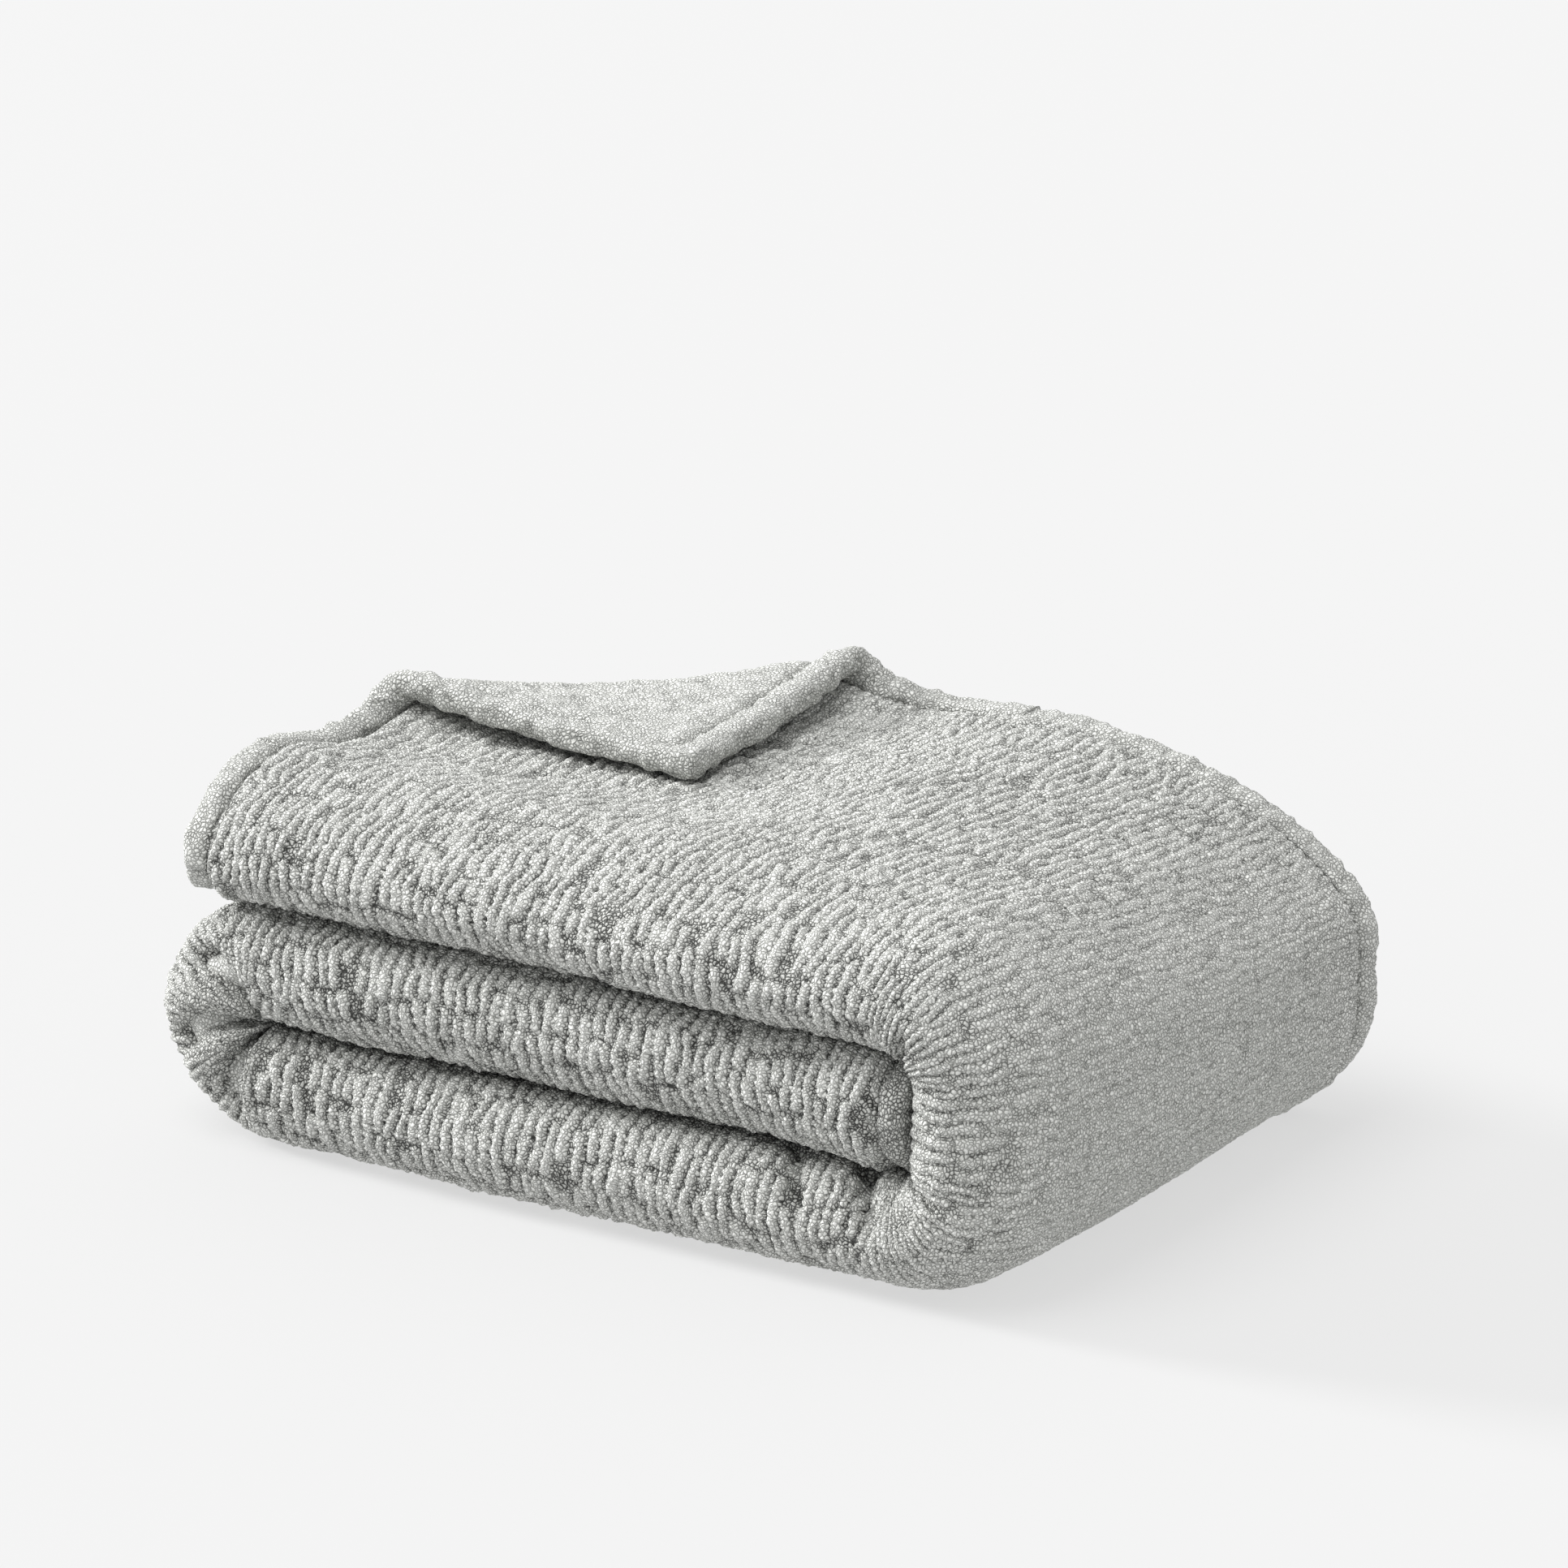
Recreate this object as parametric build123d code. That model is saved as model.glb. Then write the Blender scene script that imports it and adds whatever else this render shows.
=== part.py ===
from build123d import *
import os

# A plush knitted throw, folded into a bundle and stored flat.
#
# The sheet is folded in four lengthwise, which makes a long strip of four plies with one
# rounded fold along its front and the hems along its back.  The strip is then wound up in
# thirds: the top level turns down at the right-hand end into the bottom level, and that turns
# up at the left-hand end into the middle level, whose hemmed end is tucked inside the
# right-hand turn.  One corner of the top ply is turned back over the top; it turns about its
# crease, which lies on the diagonal of its two edges and 6 mm above the top.
#
# Frame: X along the strip, Y from the front fold to the back hems, Z up, with the origin at the
# middle of the underside.  Millimetres.

# ---- Driving dimensions ----
LENGTH = 490.0          # left-hand turn to right-hand turn
WIDTH = 350.0           # front fold to back hems
LEVEL = 59.0            # one level of four plies
LEVEL_GAP = 0.6         # air between two levels
TURN_RADIUS = 70.0      # outside of the right-hand turn, at its two rounded corners
END_INSET = 8.0         # the top level stops this far short of the left-hand turn
HEM = 20.0              # depth of the hem all round the sheet
STITCH = 1.5            # width of the stitch line that closes a hem
CORNER = 185.0          # length of the corner turned back, along each of its two edges
CLEAR = 0.4             # room beside a hinge line
HINGE_RISE = 2.0        # the top level's hinge line above half height, so that it opens clear

# ---- Worked out from them ----
PLY = LEVEL / 4
HEIGHT = 3 * LEVEL + 2 * LEVEL_GAP
LEFT = -LENGTH / 2
RIGHT = LENGTH / 2
BACK = WIDTH / 2
FRONT = -WIDTH / 2
TOP_END = LEFT + END_INSET
RIGHT_BEND = RIGHT - TURN_RADIUS                # where the levels meet the right-hand turn
LEFT_BEND = LEFT + LEVEL + LEVEL_GAP / 2        # where they meet the left-hand turn
SPLIT = HEIGHT / 2 + HINGE_RISE                 # height of the top level's hinge line
MIDDLE_Z = (LEVEL + LEVEL_GAP) + LEVEL / 2
TOP_Z = 2 * (LEVEL + LEVEL_GAP) + LEVEL / 2


# ---- Cross-sections of the strip: y across it, n out from its middle towards its outer face ----
def rectangle(y_low, y_high, n_low, n_high):
    centre = Pos((y_low + y_high) / 2, (n_low + n_high) / 2)
    return centre * Rectangle(y_high - y_low, n_high - n_low)


def folded_bar(y_high, n_low, n_high):
    """A strip rounded at the front by half its thickness and cut square at the back."""
    radius = (n_high - n_low) / 2
    nose = Pos(FRONT + LEVEL / 2, (n_low + n_high) / 2) * Circle(radius)
    return nose + rectangle(FRONT + LEVEL / 2, y_high, n_low, n_high)


def rounded_edge(y_low, n_low, n_high):
    """What closes a ply at the back: a rounded hem or fold, from y_low to the back."""
    radius = (n_high - n_low) / 2
    nose = Pos(BACK - radius, (n_low + n_high) / 2) * Circle(radius)
    whole = nose + rectangle(y_low - radius, BACK - radius, n_low, n_high)
    return whole & rectangle(y_low, BACK, n_low, n_high)


def outer_ply():
    """The first and last plies, one sheet round the front of the two inside."""
    whole = folded_bar(BACK - PLY, -LEVEL / 2, LEVEL / 2)
    inside = folded_bar(BACK, -PLY, PLY)
    behind_hem = rectangle(BACK - HEM - STITCH, BACK, 0, LEVEL)
    return whole - inside - behind_hem


def inner_ply():
    """The two plies inside, folded at the front."""
    whole = folded_bar(BACK - PLY, -PLY, PLY)
    return whole - rectangle(BACK - HEM - STITCH, BACK, 0, LEVEL)


def back_fold():
    """The first fold, where the last ply turns into the one above it."""
    return rounded_edge(BACK - PLY, -LEVEL / 2, 0)


def outer_hem():
    return rounded_edge(BACK - HEM, PLY, 2 * PLY)


def inner_hem():
    return rounded_edge(BACK - HEM, 0, PLY)


def hem_stitching():
    """Two stitch lines through the hems, a little sunk in the pile."""
    sunk = PLY / 16
    lines = [(layer * PLY + sunk, (layer + 1) * PLY - sunk) for layer in (0, 1)]
    return [rectangle(BACK - HEM - STITCH, BACK - HEM, low, high) for low, high in lines]


SECTIONS = {
    "outer_ply": outer_ply,
    "inner_ply": inner_ply,
    "back_fold": back_fold,
    "outer_hem": outer_hem,
    "inner_hem": inner_hem,
    "hem_stitching": hem_stitching,
}


# ---- Stretches of the strip ----
def across(x, z, heading):
    """The plane of a cross-section at (x, z), where the strip runs along heading."""
    return Plane(origin=(x, 0, z), x_dir=(0, 1, 0), z_dir=heading)


def run(section, x, z, heading, length):
    return extrude(across(x, z, heading) * section, amount=length)


def bend(section, x, z, heading, centre_x, centre_z, angle):
    """The strip turning about a line along Y at (centre_x, centre_z)."""
    axis = Axis((centre_x, 0, centre_z), (0, 1, 0))
    return revolve(across(x, z, heading) * section, axis=axis, revolution_arc=angle)


def top(section):
    return run(section, TOP_END + HEM, TOP_Z, (1, 0, 0), RIGHT_BEND - TOP_END - HEM)


def right_turn_upper(section):
    """From the top level, round and down to the hinge line."""
    corner_z = HEIGHT - TURN_RADIUS
    corner = bend(section, RIGHT_BEND, TOP_Z, (1, 0, 0), RIGHT_BEND, corner_z, 90)
    drop = corner_z - SPLIT - CLEAR / 2
    return corner + run(section, RIGHT - LEVEL / 2, corner_z, (0, 0, -1), drop)


def right_turn_lower(section):
    """From the hinge line, down and round to the bottom level."""
    side_x = RIGHT - LEVEL / 2
    drop = SPLIT - CLEAR / 2 - TURN_RADIUS
    side = run(section, side_x, SPLIT - CLEAR / 2, (0, 0, -1), drop)
    corner = bend(section, side_x, TURN_RADIUS, (0, 0, -1), RIGHT_BEND, TURN_RADIUS, 90)
    return side + corner


def bottom(section):
    return run(section, RIGHT_BEND, LEVEL / 2, (-1, 0, 0), RIGHT_BEND - LEFT_BEND)


def left_turn(section):
    centre_z = LEVEL + LEVEL_GAP / 2
    return bend(section, LEFT_BEND, LEVEL / 2, (-1, 0, 0), LEFT_BEND, centre_z, 180)


def middle(section):
    return run(section, LEFT_BEND, MIDDLE_Z, (1, 0, 0), RIGHT_BEND - HEM - LEFT_BEND)


STRETCHES = {
    "top": top,
    "right_turn_upper": right_turn_upper,
    "right_turn_lower": right_turn_lower,
    "bottom": bottom,
    "left_turn": left_turn,
    "middle": middle,
}


# ---- The two ends of the strip, hemmed across all four plies ----
def whole_section():
    """All the plies together, with the rounded hems and fold at the back."""
    front = folded_bar(BACK - HEM, -2 * PLY, 2 * PLY)
    behind = rectangle(BACK - HEM, BACK - PLY, -2 * PLY, 0)
    return front + behind + back_fold() + outer_hem() + inner_hem()


def top_end_hem():
    return run(whole_section(), TOP_END, TOP_Z, (1, 0, 0), HEM)


def middle_end_hem():
    return run(whole_section(), RIGHT_BEND - HEM, MIDDLE_Z, (1, 0, 0), HEM)


# ---- The turned-back corner ----
def prism(points, z_low, z_high):
    outline = make_face(Polyline(*points, close=True))
    return extrude(Plane.XY.offset(z_low) * outline, amount=z_high - z_low)


def corner_pocket():
    """What the turned-back corner leaves open in the top ply."""
    line_left = (TOP_END - HEM, BACK - CORNER - HEM - CLEAR)
    line_right = (TOP_END + CORNER + HEM + CLEAR, BACK + HEM)
    outside = (TOP_END - HEM, BACK + HEM)
    return prism([line_left, line_right, outside], HEIGHT - PLY, HEIGHT + PLY)


def corner_pieces():
    """The corner lying on the top, as its sheet, its two hems and their stitch lines."""
    z_low = HEIGHT + 2 * CLEAR
    z_high = z_low + PLY
    tip_x = TOP_END + CORNER
    tip_y = BACK - CORNER
    shift = CLEAR * 2 ** 0.5
    whole = prism([(TOP_END + shift, tip_y), (tip_x, tip_y), (tip_x, BACK - shift)], z_low, z_high)

    def part_of(x_low, x_high, y_low, y_high, sunk=0.0):
        size = (x_high - x_low, y_high - y_low, PLY - 2 * sunk)
        centre = Pos((x_low + x_high) / 2, (y_low + y_high) / 2, (z_low + z_high) / 2)
        return whole & (centre * Box(*size))

    sheet_x = tip_x - HEM - STITCH
    sheet_y = tip_y + HEM + STITCH
    hem_x = tip_x - HEM
    hem_y = tip_y + HEM
    sunk = PLY / 16
    return {
        "corner_sheet": part_of(TOP_END, sheet_x, sheet_y, BACK),
        "corner_end_hem": part_of(TOP_END, hem_x, tip_y, hem_y),
        "corner_side_hem": part_of(hem_x, tip_x, tip_y, BACK),
        "corner_hem_stitching": [
            part_of(TOP_END, sheet_x, hem_y, sheet_y, sunk),
            part_of(sheet_x, hem_x, hem_y, BACK, sunk),
        ],
    }


# ---- The care label, sewn into the end hem and lying flat between two levels ----
LABEL_LENGTH = 40.0
LABEL_WIDTH = 28.0
LABEL_THICKNESS = 0.4


def care_label():
    x = RIGHT_BEND - HEM - LABEL_LENGTH / 2
    y = BACK - HEM - 2 * LABEL_WIDTH
    z = LEVEL + LEVEL_GAP / 2
    return Pos(x, y, z) * Box(LABEL_LENGTH, LABEL_WIDTH, LABEL_THICKNESS)


# ---- Every piece, by name ----
def all_pieces():
    pieces = {}
    for stretch, shape_of in STRETCHES.items():
        for layer, section_of in SECTIONS.items():
            section = section_of()
            parts = section if isinstance(section, list) else [section]
            pieces[f"{stretch}_{layer}"] = [shape_of(part) for part in parts]
    pieces["top_end_hem"] = [top_end_hem()]
    pieces["middle_end_hem"] = [middle_end_hem()]
    pieces["care_label"] = [care_label()]

    pocket = corner_pocket()
    for name in ("top_outer_ply", "top_outer_hem", "top_hem_stitching", "top_end_hem"):
        pieces[name] = [solid - pocket for solid in pieces[name]]
    for name, shape in corner_pieces().items():
        pieces[name] = shape if isinstance(shape, list) else [shape]
    return pieces


os.makedirs("parts", exist_ok=True)
for name, solids in all_pieces().items():
    separate = [solid for shape in solids for solid in shape.solids()]
    shape = separate[0] if len(separate) == 1 else Compound(children=separate)
    export_step(shape, f"parts/{name}.step")
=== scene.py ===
import math

import bpy
import numpy as np
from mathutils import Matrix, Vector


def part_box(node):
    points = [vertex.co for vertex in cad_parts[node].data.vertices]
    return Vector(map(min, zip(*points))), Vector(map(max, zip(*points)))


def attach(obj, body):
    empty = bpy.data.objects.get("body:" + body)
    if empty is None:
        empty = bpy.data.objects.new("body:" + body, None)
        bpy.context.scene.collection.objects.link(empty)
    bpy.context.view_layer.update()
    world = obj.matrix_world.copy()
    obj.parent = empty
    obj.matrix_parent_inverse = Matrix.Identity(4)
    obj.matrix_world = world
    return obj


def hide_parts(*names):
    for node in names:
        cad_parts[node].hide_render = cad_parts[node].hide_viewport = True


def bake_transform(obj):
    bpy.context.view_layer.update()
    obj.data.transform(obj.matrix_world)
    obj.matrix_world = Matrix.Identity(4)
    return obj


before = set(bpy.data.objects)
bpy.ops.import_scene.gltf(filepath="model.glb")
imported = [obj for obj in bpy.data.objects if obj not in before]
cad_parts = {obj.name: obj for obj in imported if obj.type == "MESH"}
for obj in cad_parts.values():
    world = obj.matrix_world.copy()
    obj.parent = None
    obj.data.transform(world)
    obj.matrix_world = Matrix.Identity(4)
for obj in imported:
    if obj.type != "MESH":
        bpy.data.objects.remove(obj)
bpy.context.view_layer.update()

# The throw is drawn in the coordinates of its own strip: a runs along the strip from the hemmed
# end of the top level, b runs across it from the back hem round the front to the back fold, and
# d is the depth below the face that is outermost in the spiral. All lengths are in metres.

# ---------------------------------------------------------------- places taken from the frame
TOP_LOW, TOP_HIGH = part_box("top_outer_ply")
TURN_LOW, TURN_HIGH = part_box("right_turn_upper_outer_ply")
LEFT_LOW, LEFT_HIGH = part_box("left_turn_outer_ply")
MIDDLE_REACH = 0.014                   # how far the middle level's soft end reaches into the turn

FRONT = TOP_LOW.y
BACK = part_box("bottom_outer_hem")[1].y
WIDTH = BACK - FRONT
HEIGHT = TOP_HIGH.z
LEVEL = TOP_HIGH.z - TOP_LOW.z
PLY = LEVEL / 4
RIGHT = TURN_HIGH.x
TURN_X = TURN_LOW.x                    # where the levels meet the right-hand turn
TURN_RADIUS = RIGHT - TURN_X
TOP_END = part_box("top_end_hem")[0].x
LEFT_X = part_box("bottom_outer_ply")[0].x   # where they meet the left-hand turn
LEFT_RADIUS = (LEFT_HIGH.z - LEFT_LOW.z) / 2
MIDDLE_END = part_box("middle_end_hem")[1].x + MIDDLE_REACH
CORNER_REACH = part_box("corner_side_hem")[1].x - TOP_END   # the crease's distance from the corner, along an edge

# ---------------------------------------------------------------- sizes of the cloth
GRID = 0.0013            # spacing of the visible knit's mesh
SEAM = 0.016             # from a hem's edge to its stitch line
CLOTH = 0.0085           # thickness of one ply
HEM_THICKNESS = 0.0135
UNDER_HEM = 0.005        # how far the inner sheets reach under their hems
DIAGONAL = math.sqrt(2)
FRONT_BROAD = 0.085      # how far back the top level's front fold reaches
FRONT_TIGHT = 0.030      # the same for the other levels


def clamp01(t):
    """t, kept between 0 and 1."""
    return np.clip(t, 0.0, 1.0)


def smooth(low, high, x):
    """0 at low, 1 at high, with an easy start and end; low may be the larger."""
    t = clamp01((np.asarray(x, float) - low) / (high - low))
    return t * t * (3 - 2 * t)


def bell(x, centre, width):
    """1 at centre, falling away over width on both sides."""
    return np.exp(-((np.asarray(x, float) - centre) / width) ** 2)


# ---------------------------------------------------------------- seeded noise
def hash01(i, j, seed):
    """A number from 0 to 1 for each pair of whole numbers."""
    n = (i.astype(np.int64) * 374761393 + j.astype(np.int64) * 668265263 + seed * 974711) & 0xFFFFFFFF
    n = ((n ^ (n >> 13)) * 1274126177) & 0xFFFFFFFF
    n = ((n ^ (n >> 16)) * 2246822519) & 0xFFFFFFFF
    return ((n ^ (n >> 15)) & 0xFFFFFF) / float(0xFFFFFF)


def noise(x, y, seed):
    """Smooth noise from -1 to 1, with features one unit wide."""
    i, j = np.floor(x), np.floor(y)
    u, v = x - i, y - j
    u, v = u * u * (3 - 2 * u), v * v * (3 - 2 * v)
    low = hash01(i, j, seed) * (1 - u) + hash01(i + 1, j, seed) * u
    high = hash01(i, j + 1, seed) * (1 - u) + hash01(i + 1, j + 1, seed) * u
    return 2 * (low * (1 - v) + high * v) - 1


# ---------------------------------------------------------------- the knit's relief
CABLE_PITCH = 0.0142     # along the strip, from one pair of cables to the next
CABLE_ROW = 0.0148       # length of a pair, round the strip
CABLE_APART = 0.0035     # half the distance between the two cables of a pair
CABLE_HALF = 0.0031      # half a cable's width
CABLE_RISE = 0.0032


def cables(a, b):
    """Short raised cables, mostly in pairs, set like bricks but far from evenly."""
    wander_a = a + 0.0017 * noise(a / 0.012, b / 0.010, 3) + 0.0012 * noise(a / 0.035, b / 0.03, 5)
    wander_b = b + 0.0034 * noise(a / 0.016, b / 0.022, 4)
    best = np.zeros_like(a)
    row0 = np.floor(wander_b / CABLE_ROW)
    for step in (-1, 0, 1):
        row = row0 + step
        across = wander_a / CABLE_PITCH + 0.5 * np.mod(row, 2)
        cell = np.floor(across)
        slant = (hash01(cell, row, 12) - 0.5) * 0.0040
        middle_b = (row + 0.5 + 0.30 * (hash01(cell, row, 13) - 0.5)) * CABLE_ROW
        for side in (-1, 1):
            luck = hash01(cell, row, 30 + side)
            start = middle_b + (hash01(cell, row, 40 + side) - 0.5) * 0.0040
            along = (wander_b - start) / (CABLE_ROW * (0.43 + 0.20 * luck))
            local = (across - cell - 0.5) * CABLE_PITCH - slant * along
            offset = side * CABLE_APART + 0.0012 * (hash01(cell, row, 20 + side) - 0.5)
            lumps = 0.00045 * np.sin(2 * math.pi * wander_b / 0.0047 + 2 * side + 6 * luck)
            half = CABLE_HALF * (0.78 + 0.36 * hash01(cell, row, 50 + side))
            round_top = 1 - ((local - offset + lumps) / half) ** 2
            knobs = 0.86 + 0.14 * np.cos(2 * math.pi * wander_b / 0.0042 + 6 * luck)
            ends = clamp01(1 - np.abs(along) ** 3.0)
            height = np.sqrt(clamp01(round_top)) * ends ** 0.5 * knobs * (0.72 + 0.36 * luck)
            best = np.maximum(best, height * (luck > 0.03))
    return best


def loops(a, b, seed):
    """The pile's fine loops, as far as the mesh can hold them."""
    fine = noise(a / 0.0019, b / 0.0019, seed)
    finer = noise(a / 0.0034 + 9.1, b / 0.0029 + 3.7, seed + 1)
    return 0.6 * fine + 0.4 * finer


def knit(a, b, strength=1.0):
    """(height, brightness) of the knitted face; the brightness is painted shade: lighter on cables, darker between
    them.
    """
    raised = cables(a, b)
    fine = loops(a, b, 31)
    patch = 0.86 + 0.22 * noise(a / 0.04, b / 0.04, 41)
    height = CABLE_RISE * patch * strength * (raised - 0.45) + 0.00065 * fine
    # Painted shade: the cables and fine loops are lighter and the hollows between them darker, as if lit.
    tone = 0.70 - 0.44 * strength + 0.78 * raised * strength + 0.16 * fine
    return height, clamp01(tone)


def plush(a, b):
    """(height, brightness) of the reverse face and the hems: pile without cables, lighter on its loops and
    clumps and darker between them as painted shade.
    """
    fine = loops(a, b, 51)
    clumps = noise(a / 0.0062, b / 0.0062, 53)
    # Painted shade: the brightness follows the height, darker in the hollows.
    return 0.0006 * fine + 0.0008 * clumps, clamp01(0.72 + 0.22 * fine + 0.14 * clumps)


# ---------------------------------------------------------------- the strip's path
def path_table():
    """The outermost face's path in XZ: length so far, x, z and heading at each step."""
    quarter = math.pi / 2
    runs = [
        (TURN_X - TOP_END, 0.0),
        (TURN_RADIUS * quarter, -quarter),
        (HEIGHT - 2 * TURN_RADIUS, 0.0),
        (TURN_RADIUS * quarter, -quarter),
        (TURN_X - LEFT_X, 0.0),
        (LEFT_RADIUS * 2 * quarter, -2 * quarter),
        (MIDDLE_END - LEFT_X, 0.0),
    ]
    stations = [0.0]
    lengths, xs, zs, headings = [0.0], [TOP_END], [HEIGHT], [0.0]
    for length, turn in runs:
        steps = 200 if turn else 2
        start = headings[-1]
        step_length = length / steps
        for step in range(steps):
            middle = start + turn * (step + 0.5) / steps
            if turn:
                chord = 2 * (length / abs(turn)) * math.sin(abs(turn) / steps / 2)
            else:
                chord = step_length
            xs.append(xs[-1] + chord * math.cos(middle))
            zs.append(zs[-1] + chord * math.sin(middle))
            headings.append(start + turn * (step + 1) / steps)
            lengths.append(lengths[-1] + step_length)
        stations.append(lengths[-1])
    return stations, np.array(lengths), np.array(xs), np.array(zs), np.array(headings)


STATIONS, PATH_A, PATH_X, PATH_Z, PATH_HEADING = path_table()
A_TURN, A_SIDE, A_SIDE_END, A_BOTTOM, A_LEFT, A_MIDDLE, A_END = STATIONS[1:]


def path(a):
    """x, z and the outward normal (x, z) of the outermost face at a."""
    heading = np.interp(a, PATH_A, PATH_HEADING)
    return np.interp(a, PATH_A, PATH_X), np.interp(a, PATH_A, PATH_Z), -np.sin(heading), np.cos(heading)


# ---------------------------------------------------------------- the strip's cross-section
TUCK = 0.030                                # how far the back fold's inner ply is drawn


def front_shape(a):
    """The front fold at a: how far its upper half reaches back, its nose's depth, and its place."""
    keys = [0, 0.05, A_TURN - 0.05, A_SIDE, A_SIDE_END, A_BOTTOM, A_LEFT, A_LEFT + 0.1, A_MIDDLE, A_END]
    broad = [0.075, FRONT_BROAD, FRONT_BROAD, 0.055, 0.050, 0.045, FRONT_TIGHT, 0.042, FRONT_TIGHT, FRONT_TIGHT]
    nose = [0.60, 0.62, 0.62, 0.55, 0.5, 0.5, 0.5, 0.5, 0.5, 0.5]
    inset = [0.010, 0.002, 0.0, 0.0, 0.0, 0.004, 0.006, 0.010, 0.006, 0.006]
    return np.interp(a, keys, broad), np.interp(a, keys, nose) * LEVEL, FRONT + np.interp(a, keys, inset)


def outer_curve(a):
    """The outer sheet's cross-section at a: length along it, y, depth and the normal's angle."""
    broad, nose, front = front_shape(a)
    quarter = np.linspace(0, math.pi / 2, 40)
    half = np.linspace(0, math.pi, 30)
    last = np.array([front + FRONT_TIGHT, BACK - PLY])
    y = [[BACK], front + broad - broad * np.sin(quarter), front + FRONT_TIGHT * (1 - np.cos(quarter)), last,
         BACK - PLY + PLY * np.sin(half), [BACK - PLY - TUCK]]
    q = [[0], nose * (1 - np.cos(quarter)), nose + (LEVEL - nose) * np.sin(quarter), [LEVEL, LEVEL],
         LEVEL - PLY + PLY * np.cos(half), [LEVEL - 2 * PLY]]
    upper = np.arctan2(np.sin(quarter) * nose, np.cos(quarter) * broad)
    lower = np.arctan2(np.cos(quarter) * (LEVEL - nose), -np.sin(quarter) * FRONT_TIGHT)
    angle = [[0], upper, lower, [math.pi, math.pi], math.pi + half, [2 * math.pi]]
    y, q, angle = np.concatenate(y), np.concatenate(q), np.concatenate(angle)
    step = np.hypot(np.diff(y, prepend=y[0]), np.diff(q, prepend=q[0]))
    return np.cumsum(step), y, q, angle


B_END = min(outer_curve(a)[0][-1] for a in (0, 0.2, A_TURN, A_SIDE, A_BOTTOM, A_LEFT, A_MIDDLE))


def outer_section(a, b):
    """y, depth and the normal's angle of the outer sheet; each column of the grid has one a."""
    y, q, angle = np.empty_like(b), np.empty_like(b), np.empty_like(b)
    for column in range(b.shape[1]):
        length, ys, qs, angles = outer_curve(a[0, column])
        y[:, column] = np.interp(b[:, column], length, ys)
        q[:, column] = np.interp(b[:, column], length, qs)
        angle[:, column] = np.interp(b[:, column], length, angles)
    return y, q, angle


INNER_NOSE = FRONT + PLY + 0.018            # the middle of the inner plies' fold
B_INNER_FLAT = BACK - SEAM - INNER_NOSE     # the second ply, from its seam to the inner fold
B_INNER_FOLD = B_INNER_FLAT + math.pi * PLY
B_INNER_END = B_INNER_FOLD + BACK - PLY - INNER_NOSE


def inner_section(a, b):
    """The same for the two plies inside, whose b starts at the inner hem's seam."""
    turn = clamp01((b - B_INNER_FLAT) / (B_INNER_FOLD - B_INNER_FLAT)) * math.pi
    y = BACK - SEAM - np.minimum(b, B_INNER_FLAT)
    y = y - PLY * np.sin(turn) + np.clip(b - B_INNER_FOLD, 0, None)
    return y, 2 * PLY - PLY * np.cos(turn), turn


# ---------------------------------------------------------------- from the strip to the room
def place(a, y, q, angle, d):
    """The point at depth d under the face at (a, y, q), whose normal leans forward by angle."""
    x, z, nx, nz = path(a)
    depth = q + d * np.cos(angle)
    return np.stack([x - depth * nx, y + d * np.sin(angle), z - depth * nz], axis=-1)


SAG = 0.016                                 # how far the top has sunk under the turned corner
CORNER_SAG = 0.026                          # how far the plies behind the crease have sunk at the corner
DROOP = 0.038                               # how far the top falls towards its back right-hand corner


def settle(p):
    """The sag and softness of the whole bundle, applied to every piece alike."""
    x, y, z = p[..., 0], p[..., 1], p[..., 2]
    back = smooth(FRONT, BACK, y)
    share = np.clip(z / HEIGHT, 0, 1.05)
    right = clamp01((x + 0.03) / (RIGHT + 0.03))
    droop = (0.004 + DROOP * back) * right ** 1.7 + 0.008 * back * smooth(0.10, RIGHT, x)
    hollow = SAG * smooth(-0.11, -0.02, y) * (1 - smooth(-0.05, 0.07, x)) * np.minimum(share, 1.0) ** 4
    from_corner = (x - TOP_END + BACK - y) / DIAGONAL
    sunk = CORNER_SAG * (1 - smooth(0.015, CREASE_FLAT, from_corner)) * np.minimum(share, 1.0) ** 2
    left = smooth(-0.15, TOP_END, x)
    new_z = z - droop * share ** 2.5 - hollow - sunk
    pull = (0.020 * back ** 2 + 0.005 * bell(y, FRONT, 0.03)) * smooth(0.10, RIGHT, x)
    bulge = 0.008 * smooth(-0.19, LEFT_LOW.x, x) * bell(z, LEFT_RADIUS * 1.1, LEFT_RADIUS)
    rounded = 0.013 * left * bell(y, FRONT, 0.06) * smooth(0.55, 0.75, share)
    return np.stack([x - pull - bulge + rounded, y, new_z], axis=-1)


# ---------------------------------------------------------------- the turned-back corner
CREASE_FLAT = CORNER_REACH / DIAGONAL   # from the corner to the crease, across the bundle
RISE = 0.058                                # length of cloth that lifts gently before the loop
RISE_ANGLE = 0.40                           # how steeply it lifts, in radians
LOOP_BEND = 0.026                           # length of cloth in the tight part of the loop
FLAP_SLOPE = 0.08                           # how steeply the flap comes down to the top
FLAP_REACH = 0.06                           # how much longer the flap lies than a plain mirror image
FLAP_LEAN = 0.08                            # how far it leans to the right, for each metre of its length
LOOP_LOW, LOOP_MORE = 0.42, 0.63            # the loop's height at its middle, and what its hemmed ends add
HALF_LOOP = 0.125                           # from the loop's middle to its hemmed ends


def loop_table():
    """The loop's profile: distance back from where the cloth lifts, height and angle."""
    steps = np.linspace(0, 0.30, 3000)
    angle = RISE_ANGLE * smooth(0, RISE, steps)
    angle = angle + (math.pi + FLAP_SLOPE - RISE_ANGLE) * smooth(RISE - 0.006, RISE + LOOP_BEND, steps)
    angle = angle - FLAP_SLOPE * smooth(RISE + LOOP_BEND + 0.05, RISE + LOOP_BEND + 0.11, steps)
    gap = np.diff(steps, prepend=0.0)
    return steps, np.cumsum(np.cos(angle) * gap), np.cumsum(np.sin(angle) * gap), angle


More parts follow.
